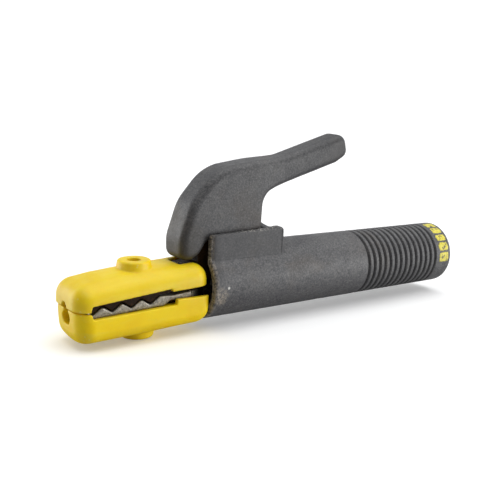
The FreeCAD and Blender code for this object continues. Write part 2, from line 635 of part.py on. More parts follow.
def upper_jaw_insulator():
    front = HEAD_UPPER_FRONT_X
    rear = HEAD_UPPER_REAR_X
    shell = head_half(front, rear, [
        (front, UPPER_PARTING_Z, 0),
        (front, UPPER_TOP_FRONT_Z, 0),
        (rear + HEAD_REAR_TRIM, UPPER_TOP_REAR_Z, HEAD_REAR_R),
        (rear + HEAD_REAR_TRIM, UPPER_REAR_PARTING_Z, 0),
        (WINDOW_REAR_X, WINDOW_TOP_REAR_Z - 1.5, WINDOW_ROUND),
        (WINDOW_REAR_X - 0.3, WINDOW_TOP_REAR_Z, WINDOW_ROUND),
        (WINDOW_FRONT_X, WINDOW_TOP_FRONT_Z, WINDOW_ROUND),
        (WINDOW_FRONT_X - 0.6, UPPER_PARTING_Z, WINDOW_ROUND),
    ], 1, UPPER_EDGE_R)
    boss = screw_boss(UPPER_BOSS_X, UPPER_BOSS_R, UPPER_BOSS_ROOT_Z, UPPER_BOSS_TOP_Z)
    shell = shell.fuse(boss).removeSplitter()
    pocket = side_prism([
        (JAW_TIP_X - POCKET_CLEARANCE, -FAR, 0),
        (JAW_TIP_X - POCKET_CLEARANCE, UPPER_JAW_FRONT_TOP_Z + POCKET_CLEARANCE, 1.5),
        (ARM_FRONT_X, UPPER_JAW_TOP_Z + POCKET_CLEARANCE, 0),
        (rear + 1, UPPER_JAW_TOP_Z + POCKET_CLEARANCE, 0),
        (rear + 1, -FAR, 0),
    ], JAW_POCKET_HALF_WIDTH)
    arm_pocket = side_prism([
        (ARM_FRONT_X - 2, 0, 0),
        (ARM_FRONT_X - 2, UPPER_JAW_TOP_Z + 1.3, 0),
        (ARM_STEP_X, ARM_STEP_Z + 1, 0),
        (rear + 1, ARM_STEP_Z + 1, 0),
        (rear + 1, 0, 0),
    ], TONGUE_HALF_WIDTH + POCKET_CLEARANCE)
    arm_way = block(ARM_WAY_FRONT_X, rear + 1, -ARM_WAY_HALF_WIDTH, ARM_WAY_HALF_WIDTH, 2, FAR)
    shell = shell.cut(pocket).cut(arm_pocket).cut(arm_way)
    shell = shell.cut(cylinder_x(UPPER_NOTCH_R, front - 1, JAW_TIP_X, 0, UPPER_NOTCH_Z))
    seat_z = UPPER_BOSS_TOP_Z - BOSS_HOLE_DEPTH
    shell = shell.cut(cylinder_z(BOSS_HOLE_R, seat_z, FAR, UPPER_BOSS_X))
    return shell.cut(cylinder_z(JAW_SCREW_R + JAW_SCREW_WAY, 0, FAR, UPPER_BOSS_X))


def lower_jaw_insulator():
    front = HEAD_LOWER_FRONT_X
    rear = HEAD_LOWER_REAR_X
    shell = head_half(front, rear, [
        (front, LOWER_PARTING_Z, 0),
        (WINDOW_FRONT_X, LOWER_PARTING_Z, WINDOW_ROUND),
        (WINDOW_FRONT_X + 0.6, WINDOW_SILL_FRONT_Z, WINDOW_ROUND),
        (SILL_REAR_X - 0.3, WINDOW_SILL_REAR_Z, WINDOW_ROUND),
        (SILL_REAR_X, LOWER_REAR_PARTING_Z + 0.4, WINDOW_ROUND),
        (rear + HEAD_REAR_TRIM, LOWER_REAR_PARTING_Z, 0),
        (rear + HEAD_REAR_TRIM, LOWER_BOTTOM_REAR_Z, HEAD_REAR_R),
        (front, LOWER_BOTTOM_FRONT_Z, 0),
    ], -1, LOWER_EDGE_R)
    boss = screw_boss(LOWER_BOSS_X, LOWER_BOSS_R, LOWER_BOSS_ROOT_Z, LOWER_BOSS_BOTTOM_Z)
    shell = shell.fuse(boss).removeSplitter()
    jaw_pocket = side_prism([
        (JAW_TIP_X - POCKET_CLEARANCE, JAW_UNDERSIDE_FRONT_Z - POCKET_CLEARANCE, 0.5),
        (JAW_TIP_X - POCKET_CLEARANCE, FAR, 0),
        (rear + 1, FAR, 0),
        (rear + 1, JAW_UNDERSIDE_REAR_Z - POCKET_CLEARANCE, 0),
        (JAW_UNDERSIDE_REAR_X, JAW_UNDERSIDE_REAR_Z - POCKET_CLEARANCE, 0),
    ], JAW_POCKET_HALF_WIDTH)
    rib_pocket = side_prism([
        (JAW_TIP_X, -2, 0),
        (JAW_TIP_X, JAW_RIB_BOTTOM_Z - POCKET_CLEARANCE, 1.5),
        (rear + 1, JAW_RIB_BOTTOM_Z - POCKET_CLEARANCE, 0),
        (rear + 1, -2, 0),
    ], RIB_POCKET_HALF_WIDTH)
    shell = shell.cut(jaw_pocket).cut(rib_pocket)
    neck = block(front - 1, JAW_TIP_X, -LOWER_NOTCH_NECK, LOWER_NOTCH_NECK, LOWER_NOTCH_Z, 0)
    middle = block(front - 1, JAW_TIP_X, -LOWER_NOTCH_SPREAD, LOWER_NOTCH_SPREAD,
                   LOWER_NOTCH_Z - LOWER_NOTCH_R, LOWER_NOTCH_Z + LOWER_NOTCH_R)
    near = cylinder_x(LOWER_NOTCH_R, front - 1, JAW_TIP_X, -LOWER_NOTCH_SPREAD, LOWER_NOTCH_Z)
    shell = shell.cut(neck.multiFuse([middle, near, mirrored(near)]))
    seat_z = LOWER_BOSS_BOTTOM_Z + BOSS_HOLE_DEPTH
    shell = shell.cut(cylinder_z(BOSS_HOLE_R, -FAR, seat_z, LOWER_BOSS_X))
    return shell.cut(cylinder_z(JAW_SCREW_R + JAW_SCREW_WAY, -FAR, 0, LOWER_BOSS_X))


def screw_boss(x, rim_r, root_z, rim_z):
    """Round boss that flares from its rounded rim down to its root."""
    outward = math.copysign(1, rim_z - root_z)
    boss = Part.makeCone(rim_r + BOSS_FLARE, rim_r, abs(rim_z - root_z), Vector(x, 0, root_z),
                         Vector(0, 0, outward))
    rim = [edge for edge in boss.Edges
           if abs(edge.BoundBox.ZMin - rim_z) < 1e-6 and abs(edge.BoundBox.ZMax - rim_z) < 1e-6]
    return boss.makeFillet(BOSS_ROUND, rim)


def jaw_screw(x, seat_z, outward, tip_z):
    """Slotted screw; outward is +1 for a head on top and -1 for a head underneath."""
    under_head_z = seat_z + outward * LOCK_WASHER_THICKNESS
    top_z = under_head_z + outward * JAW_SCREW_HEAD_HEIGHT
    head = cylinder_z(JAW_SCREW_HEAD_R, min(under_head_z, top_z), max(under_head_z, top_z), x)
    slot_z = top_z - outward * SLOT_DEPTH
    shank = cylinder_z(JAW_SCREW_R, min(tip_z, slot_z), max(tip_z, slot_z), x)
    slot = screw_slot(x, min(slot_z, top_z), max(slot_z, top_z))
    return head.fuse(shank).cut(slot).removeSplitter()


def lock_washer(x, seat_z, outward):
    far_z = seat_z + outward * LOCK_WASHER_THICKNESS
    low_z, high_z = min(seat_z, far_z), max(seat_z, far_z)
    ring = cylinder_z(LOCK_WASHER_R, low_z, high_z, x)
    ring = ring.cut(cylinder_z(JAW_SCREW_R + 0.1, low_z - 1, high_z + 1, x))
    half_gap = LOCK_WASHER_GAP / 2
    return ring.cut(block(x, x + 2 * LOCK_WASHER_R, -half_gap, half_gap, low_z - 1, high_z + 1))


# ---- lever cover ---------------------------------------------------------------------------

def lever_cover():
    side = side_prism([
        (-189.8, 13.4, 4.6),
        (-190.4, 24.0, 16),
        (-184.5, 42.0, 25),
        (-170.0, 58.6, 26),
        (-146.0, 61.9, 30),
        (-128.0, 63.5, 40),
        (-85.4, 75.9, 5.5),
        (-82.2, 63.6, 4.6),
        (-90.0, 59.2, 6.0),
        (-132.0, 47.3, 9.0),
        (-140.2, 44.0, 8.0),
        (-140.8, COVER_BOTTOM_Z, 5.0),
        (-174.4, COVER_BOTTOM_Z, 3.0),
        (-178.5, 16.2, 6.0),
        (-183.0, 13.6, 5.0),
    ], LEVER_HALF_WIDTH)
    plan = plan_prism([
        (-191.5, -LEVER_HALF_WIDTH, 6.0),
        (-191.5, LEVER_HALF_WIDTH, 6.0),
        (-142.0, LEVER_HALF_WIDTH, 30),
        (-126.0, TAIL_HALF_WIDTH, 30),
        (-81.6, TAIL_HALF_WIDTH, 4.0),
        (-81.6, -TAIL_HALF_WIDTH, 4.0),
        (-126.0, -TAIL_HALF_WIDTH, 30),
        (-142.0, -LEVER_HALF_WIDTH, 30),
    ], 0, FAR)
    cover = side.common(plan)
    cover = cover.makeFillet(LEVER_EDGE_R, side_edges(cover))
    clearance = COVER_POCKET_CLEARANCE
    pocket = side_prism([
        (TONGUE_FRONT_X - clearance, 0, 0),
        (TONGUE_FRONT_X - clearance, TONGUE_TOP_Z - TONGUE_SLOPE + clearance, TONGUE_ROUND),
        (TONGUE_FRONT_X + TONGUE_SLOPE - clearance, TONGUE_TOP_Z + clearance, TONGUE_ROUND),
        (TONGUE_REAR_X + clearance, TONGUE_TOP_Z + clearance, TONGUE_REAR_ROUND),
        (TONGUE_REAR_X + clearance, 0, 0),
    ], TONGUE_HALF_WIDTH + clearance)
    return cover.cut(pocket).cut(cover_screw_way())


def side_edges(cover):
    """Sharp edges where the cover's two sides meet its rim."""
    chosen = []
    for edge in cover.Edges:
        faces = cover.ancestorsOfType(edge, Part.Face)
        middle = edge.valueAt((edge.FirstParameter + edge.LastParameter) / 2)
        normals = [face.normalAt(*face.Surface.parameter(middle)) for face in faces]
        sharp = len(normals) == 2 and normals[0].getAngle(normals[1]) > SHARP_EDGE_ANGLE
        if sharp and max(abs(normals[0].y), abs(normals[1].y)) > 0.9:
            chosen.append(edge)
    return chosen


def cover_screw_way():
    way = cylinder_x(COVER_SCREW_R + SEAT_CLEARANCE, COVER_SCREW_TIP_X - 0.5, -FAR, 0, COVER_SCREW_Z)
    return way.fuse(cylinder_x(COVER_SCREW_HEAD_R + 0.3, COVER_SCREW_SEAT_X, -FAR, 0, COVER_SCREW_Z))


def lever_cover_screw():
    """Screw through the back of the cover into the tongue."""
    head_x = COVER_SCREW_SEAT_X + COVER_SCREW_HEAD_HEIGHT
    head = cylinder_x(COVER_SCREW_HEAD_R, COVER_SCREW_SEAT_X, head_x, 0, COVER_SCREW_Z)
    shank = cylinder_x(COVER_SCREW_R, COVER_SCREW_TIP_X, COVER_SCREW_SEAT_X + 0.5, 0, COVER_SCREW_Z)
    slot = block(head_x - SLOT_DEPTH, head_x, -FAR, FAR,
                 COVER_SCREW_Z - SLOT_HALF_WIDTH, COVER_SCREW_Z + SLOT_HALF_WIDTH)
    return head.fuse(shank).cut(slot).removeSplitter()


# ---- all pieces ----------------------------------------------------------------------------

def build():
    upper_seat_z = UPPER_BOSS_TOP_Z - BOSS_HOLE_DEPTH
    lower_seat_z = LOWER_BOSS_BOTTOM_Z + BOSS_HOLE_DEPTH
    os.makedirs("parts", exist_ok=True)
    save("handle_sleeve", handle_sleeve())
    save("sleeve_screw", sleeve_screw())
    save("insulating_liner", insulating_liner())
    save("lower_jaw_body", lower_jaw_body())
    save("pivot_pin", pivot_pin())
    save("pivot_retaining_rings", retaining_ring(), mirrored(retaining_ring()))
    save("pivot_thrust_washers", thrust_washer(), mirrored(thrust_washer()))
    save("cable_clamp_screws", *[clamp_screw(x) for x in CLAMP_SCREW_X])
    save("cable_contact_sleeve", cable_contact_sleeve())
    save("spring_seat_lower", spring_seat_lower())
    save("lower_jaw_insulator", lower_jaw_insulator())
    save("lower_insulator_screw", jaw_screw(LOWER_BOSS_X, lower_seat_z, -1, LOWER_SCREW_TIP_Z))
    save("lower_lock_washer", lock_washer(LOWER_BOSS_X, lower_seat_z, -1))
    save("upper_jaw_lever", upper_jaw_lever())
    save("pivot_bush", pivot_bush())
    save("spring_seat_upper", spring_seat_upper())
    save("jaw_spring", jaw_spring())
    save("upper_jaw_insulator", upper_jaw_insulator())
    save("upper_insulator_screw", jaw_screw(UPPER_BOSS_X, upper_seat_z, 1, UPPER_SCREW_TIP_Z))
    save("upper_lock_washer", lock_washer(UPPER_BOSS_X, upper_seat_z, 1))
    save("lever_cover", lever_cover())
    save("lever_cover_screw", lever_cover_screw())


build()
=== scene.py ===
import json
import math

import bmesh
import bpy
from mathutils import Matrix, Vector, noise

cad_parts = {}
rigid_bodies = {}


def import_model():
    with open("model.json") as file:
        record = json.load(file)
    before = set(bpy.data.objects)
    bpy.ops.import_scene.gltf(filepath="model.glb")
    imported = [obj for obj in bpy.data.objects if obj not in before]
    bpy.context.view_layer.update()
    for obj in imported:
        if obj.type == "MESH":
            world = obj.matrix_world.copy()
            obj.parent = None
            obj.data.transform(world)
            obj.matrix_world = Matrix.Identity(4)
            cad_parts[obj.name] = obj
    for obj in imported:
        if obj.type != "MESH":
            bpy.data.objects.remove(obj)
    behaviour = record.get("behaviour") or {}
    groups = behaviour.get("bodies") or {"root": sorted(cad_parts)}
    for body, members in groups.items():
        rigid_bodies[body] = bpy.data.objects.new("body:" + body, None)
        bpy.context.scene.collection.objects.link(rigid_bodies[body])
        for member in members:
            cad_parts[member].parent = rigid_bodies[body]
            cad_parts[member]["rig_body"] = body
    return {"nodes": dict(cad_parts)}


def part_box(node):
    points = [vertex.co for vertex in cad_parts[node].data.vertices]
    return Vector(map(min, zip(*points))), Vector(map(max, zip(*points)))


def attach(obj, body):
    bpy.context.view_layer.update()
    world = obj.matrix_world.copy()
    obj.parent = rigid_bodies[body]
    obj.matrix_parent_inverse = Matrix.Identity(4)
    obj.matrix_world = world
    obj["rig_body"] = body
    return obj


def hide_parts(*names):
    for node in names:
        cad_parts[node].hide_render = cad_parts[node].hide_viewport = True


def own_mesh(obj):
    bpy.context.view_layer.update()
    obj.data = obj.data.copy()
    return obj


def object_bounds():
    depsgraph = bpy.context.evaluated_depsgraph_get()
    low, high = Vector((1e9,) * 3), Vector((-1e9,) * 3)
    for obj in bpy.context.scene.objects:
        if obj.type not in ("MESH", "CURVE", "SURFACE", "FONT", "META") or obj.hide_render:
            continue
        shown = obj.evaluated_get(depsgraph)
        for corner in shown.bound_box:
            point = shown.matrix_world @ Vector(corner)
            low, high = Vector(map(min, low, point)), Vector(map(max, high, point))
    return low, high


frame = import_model()
cad_low, cad_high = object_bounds()

# A spring-jawed welding electrode holder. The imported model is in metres, and lengths here that
# are easier to read in millimetres are multiplied by MM.

MM = 0.001

# ---- camera, floor and light ---------------------------------------------------------------

CAMERA_AIM = Vector((-94.5, 63.4, -4.2)) * MM
CAMERA_DISTANCE = 505 * MM
CAMERA_AZIMUTH = math.radians(-36.9)
CAMERA_ELEVATION = math.radians(12.7)
CAMERA_ROLL = math.radians(3.0)
CAMERA_LENS = 57.6
SENSOR_WIDTH = 36.0

# What each lamp is: azimuth and elevation round the object in degrees, size and distance in
# metres, power in watts.
LAMPS = {
    "lamp_left": (-138, 0, 0.90, 1.0, 5.9),
    "lamp_right": (46, -2, 0.90, 1.0, 6.4),
}
SKY_AZIMUTH, SKY_ELEVATION, SKY_SPREAD, SKY_POWER = 30, 74, 70, 1.8
BACKDROP_AZIMUTH, BACKDROP_ELEVATION = 143, 30
BACKDROP_LIGHT, ROOM_LIGHT = 0.70, 0.08
BACKDROP_EDGE = (-0.3, 0.7)
SEEN_WHITE = 1.1
ROOM_COLOUR = (0.97, 0.985, 1.0)
FLOOR_RADIUS = 8.0
FLOOR_GLOW = 0.20
FLOOR_BOUNCE = (0.45, 0.45, 0.45)
FLOOR_DROP = 0.0002


def direction(azimuth, elevation):
    """Unit vector from the object; azimuth 0 is towards -Y and 90 towards +X."""
    flat = math.cos(elevation)
    return Vector((math.sin(azimuth) * flat, -math.cos(azimuth) * flat, math.sin(elevation)))


def facing(back, roll=0.0):
    """Rotation whose +Z is back, turned by roll about it."""
    right = Vector((0, 0, 1)).cross(back).normalized()
    up = back.cross(right)
    rotation = Matrix((right, up, back)).transposed().to_4x4()
    return rotation @ Matrix.Rotation(roll, 4, "Z")


def link(obj):
    bpy.context.scene.collection.objects.link(obj)
    return obj


def make_camera():
    data = bpy.data.cameras.new("camera")
    data.lens = CAMERA_LENS
    data.sensor_width = SENSOR_WIDTH
    data.clip_start = 0.01
    data.clip_end = 20
    camera = link(bpy.data.objects.new("camera", data))
    back = direction(CAMERA_AZIMUTH, CAMERA_ELEVATION)
    place = Matrix.Translation(CAMERA_AIM + back * CAMERA_DISTANCE)
    camera.matrix_world = place @ facing(back, CAMERA_ROLL)
    bpy.context.scene.camera = camera


def make_lamps():
    centre = (cad_low + cad_high) / 2
    for name, (azimuth, elevation, size, distance, power) in LAMPS.items():
        data = bpy.data.lights.new(name, "AREA")
        data.shape = "DISK"
        data.size = size
        data.energy = power
        lamp = link(bpy.data.objects.new(name, data))
        towards = direction(math.radians(azimuth), math.radians(elevation))
        lamp.matrix_world = Matrix.Translation(centre + towards * distance) @ facing(towards)
    data = bpy.data.lights.new("lamp_sky", "SUN")
    data.energy = SKY_POWER
    data.angle = math.radians(SKY_SPREAD)
    lamp = link(bpy.data.objects.new("lamp_sky", data))
    lamp.matrix_world = facing(direction(math.radians(SKY_AZIMUTH), math.radians(SKY_ELEVATION)))


def make_world():
    world = bpy.data.worlds.new("studio")
    bpy.context.scene.world = world
    world.use_nodes = True
    nodes, links = world.node_tree.nodes, world.node_tree.links
    nodes.clear()
    output = nodes.new("ShaderNodeOutputWorld")
    seen = nodes.new("ShaderNodeBackground")
    seen.inputs["Color"].default_value = (1.0, 1.0, 1.0, 1)
    seen.inputs["Strength"].default_value = SEEN_WHITE
    light = nodes.new("ShaderNodeBackground")
    light.inputs["Color"].default_value = (*ROOM_COLOUR, 1)
    toward = nodes.new("ShaderNodeVectorMath")
    toward.operation = "DOT_PRODUCT"
    toward.inputs[1].default_value = direction(math.radians(BACKDROP_AZIMUTH),
                                               math.radians(BACKDROP_ELEVATION))
    fall = nodes.new("ShaderNodeMapRange")
    fall.inputs["From Min"].default_value = BACKDROP_EDGE[0]
    fall.inputs["From Max"].default_value = BACKDROP_EDGE[1]
    fall.inputs["To Min"].default_value = ROOM_LIGHT
    fall.inputs["To Max"].default_value = BACKDROP_LIGHT
    links.new(nodes.new("ShaderNodeTexCoord").outputs["Generated"], toward.inputs[0])
    links.new(toward.outputs["Value"], fall.inputs["Value"])
    links.new(fall.outputs[0], light.inputs["Strength"])
    path = nodes.new("ShaderNodeLightPath")
    mix = nodes.new("ShaderNodeMixShader")
    links.new(path.outputs["Is Camera Ray"], mix.inputs[0])
    links.new(light.outputs[0], mix.inputs[1])
    links.new(seen.outputs[0], mix.inputs[2])
    links.new(mix.outputs[0], output.inputs["Surface"])


def make_floor():
    mesh = bpy.data.meshes.new("floor")
    shape = bmesh.new()
    bmesh.ops.create_circle(shape, cap_ends=True, segments=96, radius=FLOOR_RADIUS)
    shape.to_mesh(mesh)
    shape.free()
    floor = link(bpy.data.objects.new("floor", mesh))
    floor.location = (-0.12, 0, cad_low.z - FLOOR_DROP)
    look = Look("floor_paper")
    tone = look.ramp(look.noise(60, 2), [(0.3, (0.90, 0.90, 0.90)), (0.7, (0.93, 0.93, 0.93))])
    look.set(tone, 0.9, {"Emission Color": (1.0, 1.0, 1.0), "Emission Strength": FLOOR_GLOW})
    look.dim_for_bounces(FLOOR_BOUNCE)
    mesh.materials.append(look.material)
    floor.visible_shadow = False


# ---- materials -----------------------------------------------------------------------------

class Look:
    """One procedural material, built up node by node in the part's own coordinates."""

    def __init__(self, name):
        self.material = bpy.data.materials.new(name)
        self.material.use_nodes = True
        self.nodes = self.material.node_tree.nodes
        self.links = self.material.node_tree.links
        self.nodes.clear()
        self.shader = self.add("ShaderNodeBsdfPrincipled")
        self.output = self.add("ShaderNodeOutputMaterial")
        self.links.new(self.shader.outputs[0], self.output.inputs["Surface"])
        self.place = self.add("ShaderNodeTexCoord").outputs["Object"]
        self.geometry = self.add("ShaderNodeNewGeometry")

    def add(self, kind, **settings):
        node = self.nodes.new(kind)
        for key, value in settings.items():
            setattr(node, key, value)
        return node

    def feed(self, socket, value):
        if isinstance(value, bpy.types.NodeSocket):
            self.links.new(value, socket)
        elif isinstance(value, tuple) and socket.type == "RGBA":
            socket.default_value = (*value, 1)
        else:
            socket.default_value = value

    def stretched(self, stretch):
        """The part's coordinates, shrunk along an axis to draw a pattern out along it."""
        mapping = self.add("ShaderNodeMapping")
        self.links.new(self.place, mapping.inputs["Vector"])
        mapping.inputs["Scale"].default_value = stretch
        return mapping.outputs[0]

    def noise(self, size_mm, detail=4, roughness=0.55, stretch=None, shift=0.0):
        node = self.add("ShaderNodeTexNoise")
        self.links.new(self.stretched(stretch) if stretch else self.place, node.inputs["Vector"])
        node.inputs["Scale"].default_value = 1 / (size_mm * MM)
        node.inputs["Detail"].default_value = detail
        node.inputs["Roughness"].default_value = roughness
        node.inputs["Distortion"].default_value = shift
        return node.outputs["Fac"]

    def cells(self, size_mm):
        node = self.add("ShaderNodeTexVoronoi")
        self.links.new(self.place, node.inputs["Vector"])
        node.inputs["Scale"].default_value = 1 / (size_mm * MM)
        return node.outputs["Distance"]

    def ramp(self, factor, stops):
        node = self.add("ShaderNodeValToRGB")
        self.links.new(factor, node.inputs[0])
        elements = node.color_ramp.elements
        while len(elements) < len(stops):
            elements.new(0.5)
        for element, (position, colour) in zip(elements, stops):
            element.position = position
            element.color = (*colour, 1)
        return node.outputs[0]

    def remap(self, value, low, high, to_low=0.0, to_high=1.0):
        node = self.add("ShaderNodeMapRange", clamp=True)
        self.feed(node.inputs["Value"], value)
        node.inputs["From Min"].default_value = low
        node.inputs["From Max"].default_value = high
        node.inputs["To Min"].default_value = to_low
        node.inputs["To Max"].default_value = to_high
        return node.outputs[0]

    def maths(self, operation, first, second=0.5):
        node = self.add("ShaderNodeMath", operation=operation)
        self.feed(node.inputs[0], first)
        self.feed(node.inputs[1], second)
        return node.outputs[0]

    def mix(self, factor, first, second):
        node = self.add("ShaderNodeMix", data_type="RGBA")
        self.feed(node.inputs[0], factor)
        self.feed(node.inputs[6], first)
        self.feed(node.inputs[7], second)
        return node.outputs[2]

    def along(self, axis):
        """The part's X, Y or Z, in metres."""
        node = self.add("ShaderNodeSeparateXYZ")
        self.links.new(self.place, node.inputs[0])
        return node.outputs[axis]

    def worn_edges(self, low=0.515, high=0.57):
        return self.remap(self.geometry.outputs["Pointiness"], low, high)

    # Mask of the surface's hollows; the materials use it to paint shade there.
    def cavities(self, low=0.44, high=0.49):
        return self.remap(self.geometry.outputs["Pointiness"], low, high, 1.0, 0.0)

    def bump(self, height, depth_mm, strength=1.0):
        """Adds one layer of relief, on top of the layers added before."""
        node = self.add("ShaderNodeBump")
        node.inputs["Distance"].default_value = depth_mm * MM
        node.inputs["Strength"].default_value = strength
        self.links.new(height, node.inputs["Height"])
        before = self.shader.inputs["Normal"]
        if before.is_linked:
            self.links.new(before.links[0].from_socket, node.inputs["Normal"])
        self.links.new(node.outputs[0], before)

    def dim_for_bounces(self, colour):
        """Plain diffuse of this colour for light that bounces on; the camera sees the full look."""
        dim = self.add("ShaderNodeBsdfDiffuse")
        dim.inputs["Color"].default_value = (*colour, 1)
        mix = self.add("ShaderNodeMixShader")
        output = self.output.inputs["Surface"]
        self.links.new(self.add("ShaderNodeLightPath").outputs["Is Camera Ray"], mix.inputs[0])
        self.links.new(dim.outputs[0], mix.inputs[1])
        self.links.new(self.shader.outputs[0], mix.inputs[2])
        self.links.new(mix.outputs[0], output)

    def set(self, base=None, roughness=None, sockets=None):
        if base is not None:
            self.feed(self.shader.inputs["Base Color"], base)
        if roughness is not None:
            self.feed(self.shader.inputs["Roughness"], roughness)
        for name, value in (sockets or {}).items():
            self.feed(self.shader.inputs[name], value)
        return self.material


# Where colours change along the part's X or up its Z, in metres: from the first value to the
# second.
# Painted shade on the box's flat sides:
BOX_SIDE_HEIGHT = (0.0131, 0.0136)
BOX_REAR_END = (-0.1270, -0.1280)
BOX_TOP_HEIGHT = (0.0264, 0.0272)
# The painted shadow at the sleeve's front rim:
RIM_SHADOW_X = (-0.1690, -0.1745)
RIM_SHADOW_HEIGHT = (-0.002, 0.010)
RIM_WEAR_X = (-0.1752, -0.1730)
# Soot and painted shade on the lever's nose:
NOSE_SOOT_AND_SHADE_HEIGHT = (0.014, 0.040)
NOSE_SOOT_AND_SHADE_X = (-0.176, -0.184)
TAIL_X = (-0.130, -0.088)
# Painted shadow on the jaw's neck:
NECK_SHADOW_X = (-0.1872, -0.1795)
ARM_TOP_HEIGHT = (0.0095, 0.0108)
ARM_TOP_X = (-0.1835, -0.1860)


def near_spot(look, x, y, z, radius_mm):
    """1 inside a small round patch of the surface, fading to 0 at its edge."""
    node = look.add("ShaderNodeVectorMath", operation="DISTANCE")
    look.links.new(look.place, node.inputs[0])
    node.inputs[1].default_value = (x * MM, y * MM, z * MM)
    return look.remap(node.outputs["Value"], 0.55 * radius_mm * MM, radius_mm * MM, 1.0, 0.0)


def darker(colour, shade):
    return tuple(shade * channel for channel in colour)


def grey_moulding(name, shade):
    """Dark grey glass-filled plastic: mottled, grainy, tan where it is rubbed, with painted shade
    in its hollows.
    """
    look = Look(name)
    clouds = look.ramp(look.noise(17, 5, 0.62), [
        (0.30, darker((0.042, 0.042, 0.048), shade)),
        (0.50, darker((0.058, 0.058, 0.063), shade)),
        (0.72, darker((0.078, 0.076, 0.077), shade)),
    ])
    blotches = look.remap(look.noise(5.5, 4, 0.65), 0.45, 0.70, 0.0, 0.45)
    blotched = look.mix(blotches, clouds, darker((0.105, 0.103, 0.104), shade))
    grain = look.noise(0.9, 3, 0.7)
    speckled = look.mix(look.remap(grain, 0.44, 0.70, 0.0, 0.80), blotched,
                        darker((0.175, 0.170, 0.168), shade))
    pores = look.remap(look.noise(1.3, 3, 0.7), 0.50, 0.70, 0.0, 0.8)
    pitted = look.mix(pores, speckled, darker((0.020, 0.020, 0.023), shade))
    stains = look.remap(look.noise(26, 4, 0.6, shift=0.6), 0.55, 0.72, 0.0, 0.35)
    stained = look.mix(stains, pitted, darker((0.105, 0.082, 0.060), shade))
    rub = look.maths("MULTIPLY", look.worn_edges(0.53, 0.58),
                     look.remap(look.noise(2.6, 4, 0.7), 0.42, 0.66))
    rubbed = look.mix(look.maths("MULTIPLY", rub, 0.55), stained, (0.24, 0.195, 0.145))
    # Painted shade: the hollows are darkened towards near-black.
    cavity_shaded = look.mix(look.maths("MULTIPLY", look.cavities(), 0.55), rubbed, (0.014, 0.013, 0.013))
    scratch = look.remap(look.noise(0.9, 2, 0.5, stretch=(0.05, 1.0, 1.0)), 0.70, 0.76, 0.0, 0.35)
    scratched = look.mix(scratch, cavity_shaded, (0.17, 0.165, 0.16))
    chips = look.maths("MULTIPLY", look.remap(look.cells(7.5), 0.025, 0.050, 1.0, 0.0),
                       look.remap(look.noise(21, 2), 0.50, 0.60))
    colour = look.mix(look.maths("MULTIPLY", chips, 0.6), scratched, (0.42, 0.40, 0.36))
    roughness = look.remap(look.noise(5, 4, 0.65), 0.3, 0.7, 0.44, 0.60)
    look.bump(look.noise(14, 3, 0.5), 0.30, 0.5)
    look.bump(grain, 0.06, 0.6)
    look.bump(look.noise(2.4, 3, 0.6), 0.08, 0.5)
    return look, colour, roughness


def sleeve_material():
    """The handle's grey: painted shade on the box sides and in the grooves, a painted shadow and
    tan wear on the front rim, a chip.
    """
    look, colour, roughness = grey_moulding("grey_moulded_plastic", 1.0)
    # Painted shade: the box's flat sides above the crease are darkened.
    box_side_shade = look.maths("MULTIPLY", look.remap(look.along(2), *BOX_SIDE_HEIGHT),
                     look.remap(look.along(0), *BOX_REAR_END))
    colour = look.mix(look.maths("MULTIPLY", box_side_shade, 0.50), colour, (0.026, 0.026, 0.029))
    flecks = look.maths("MULTIPLY", look.remap(look.along(2), *BOX_TOP_HEIGHT),
                        look.remap(look.noise(1.1, 3, 0.6), 0.54, 0.62))
    colour = look.mix(look.maths("MULTIPLY", flecks, 0.7), colour, (0.40, 0.38, 0.34))
    turns = look.maths("DIVIDE", look.maths("SUBTRACT", look.along(0), GROOVE_FIRST_X * MM),
                       GROOVE_PITCH * MM)
    off = look.maths("ABSOLUTE", look.maths("SUBTRACT", turns, look.maths("ROUND", turns)))
    groove = look.remap(off, 0.10, 0.19, 1.0, 0.0)
    grip = look.maths("MULTIPLY", look.remap(turns, -0.4, -0.3),
                      look.remap(turns, GROOVE_COUNT - 0.7, GROOVE_COUNT - 0.6, 1.0, 0.0))
    # Painted shade: the grooves between the ribs are darkened nearly to black.
    recess_shade = look.maths("MULTIPLY", look.maths("MULTIPLY", groove, grip), 0.62)
    colour = look.mix(recess_shade, colour, (0.012, 0.012, 0.013))
    # Painted shadow: the front of the box by the rim, where the lever and head shade it, is
    # darkened.
    soot_and_painted_shadow = look.maths("MULTIPLY", look.remap(look.along(0), *RIM_SHADOW_X),
                      look.remap(look.along(2), *RIM_SHADOW_HEIGHT))
    colour = look.mix(look.maths("MULTIPLY", soot_and_painted_shadow, 0.70), colour, (0.014, 0.013, 0.013))
    worn = look.maths("MAXIMUM", look.remap(look.along(0), *RIM_WEAR_X, 1.0, 0.0),
                      near_spot(look, *RUBBED_PLACE, RUBBED_R))
    worn = look.maths("MULTIPLY", worn, look.remap(look.noise(1.7, 4, 0.75), 0.42, 0.58))
    colour = look.mix(look.maths("MULTIPLY", worn, 0.85), colour, (0.36, 0.31, 0.25))
    colour = look.mix(near_spot(look, *CHIP_PLACE, CHIP_R), colour, (0.66, 0.64, 0.60))
    return look.set(colour, roughness, {"Specular IOR Level": 0.65})


